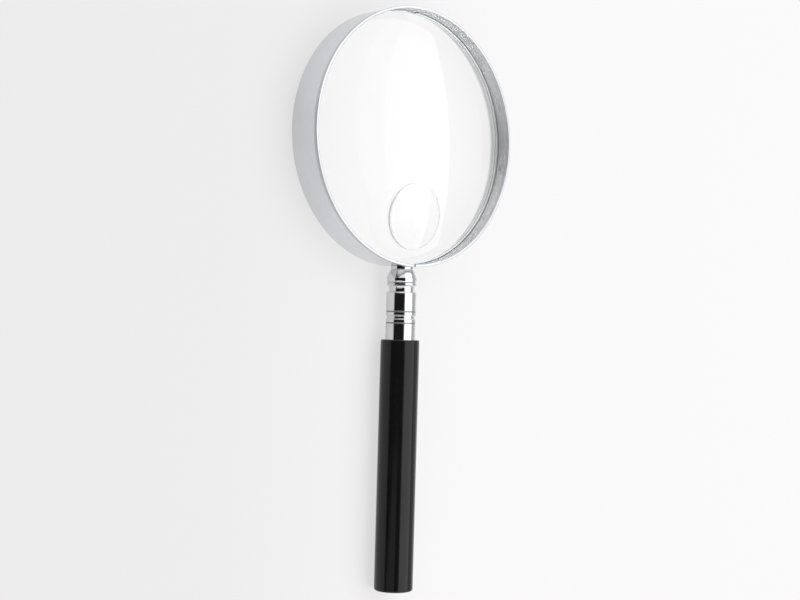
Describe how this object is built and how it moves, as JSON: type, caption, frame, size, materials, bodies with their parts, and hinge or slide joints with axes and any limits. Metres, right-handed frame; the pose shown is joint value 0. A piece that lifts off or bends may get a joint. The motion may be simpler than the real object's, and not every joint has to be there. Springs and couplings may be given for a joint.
{
  "type": "hand lens",
  "caption": "Round hand lens in a split metal hoop, with a small strong segment and a straight handle that screws on behind a domed collar.",
  "frame": {"origin": "middle of the object's length and width, on the surface that the lens lies on", "axes": "+X runs from the hoop to the handle's end, +Z is the lens axis and points out of the front face, up"},
  "size_m": [0.2092, 0.093, 0.014],
  "materials": {
    "satin_chrome": "satin chrome plate on a rolled steel strip",
    "polished_chrome": "polished chrome plate",
    "plated_steel": "machined and nickel plated",
    "spring_steel": "drawn wire and strip, dull",
    "brass": "machined",
    "optical_glass": "polished optical glass, clear",
    "black_plastic": "glossy black moulded plastic"
  },
  "bodies": {
    "head": {"rim_band": "satin_chrome", "main_lens": "optical_glass", "bifocal_segment": "optical_glass", "lens_ring_front": "spring_steel", "lens_ring_rear": "spring_steel", "stud_half_near": "plated_steel", "stud_half_far": "plated_steel", "saddle_plate": "polished_chrome", "clamp_collar": "polished_chrome"},
    "washer": {"neck_washer": "spring_steel"},
    "handle": {"ferrule": "polished_chrome", "ferrule_bush": "brass", "handle_grip": "black_plastic", "end_plug": "black_plastic"}
  },
  "joints": [
    {"name": "handle_travel", "type": "slide", "parent": "head", "child": "washer", "axis": [1, 0, 0], "range_m": [0, 0.006]},
    {"name": "handle_turn", "type": "hinge", "parent": "washer", "child": "handle", "pos_m": [0, 0, 0.007], "axis": [1, 0, 0], "range_deg": [0, 2160]}
  ],
  "couplings": [
    {"joint": "handle_turn", "follows": "handle_travel", "rad_per_m": 6283.2}
  ]
}
